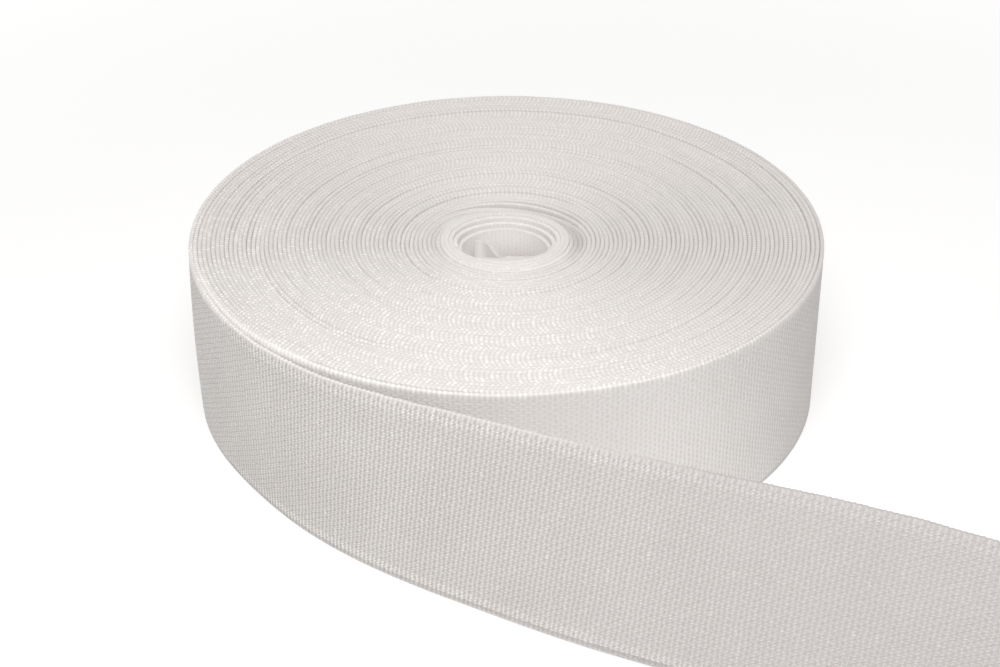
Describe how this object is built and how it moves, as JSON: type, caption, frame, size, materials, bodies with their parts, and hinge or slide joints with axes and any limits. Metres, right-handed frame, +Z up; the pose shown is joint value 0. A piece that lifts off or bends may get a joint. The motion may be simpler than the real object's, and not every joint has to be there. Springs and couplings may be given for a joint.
{
  "type": "roll of upholstery webbing",
  "caption": "Roll of plain white woven upholstery webbing lying flat, wound without a core, its outer end pulled off and running away on its edge.",
  "frame": {"origin": "middle of the footprint's bounding box, on the surface that the roll lies on", "axes": "+Z up along the roll's axis, which stands at (-0.0259, 0.0451); the loose outer end runs towards +X and -Y, and -Y faces the viewer"},
  "size_m": [0.2312, 0.269, 0.05],
  "materials": {
    "woven_white": "matt plain-woven undyed tape with a fine sheen on its ribs"
  },
  "bodies": {
    "root": {"webbing_roll": "woven_white"}
  },
  "joints": []
}
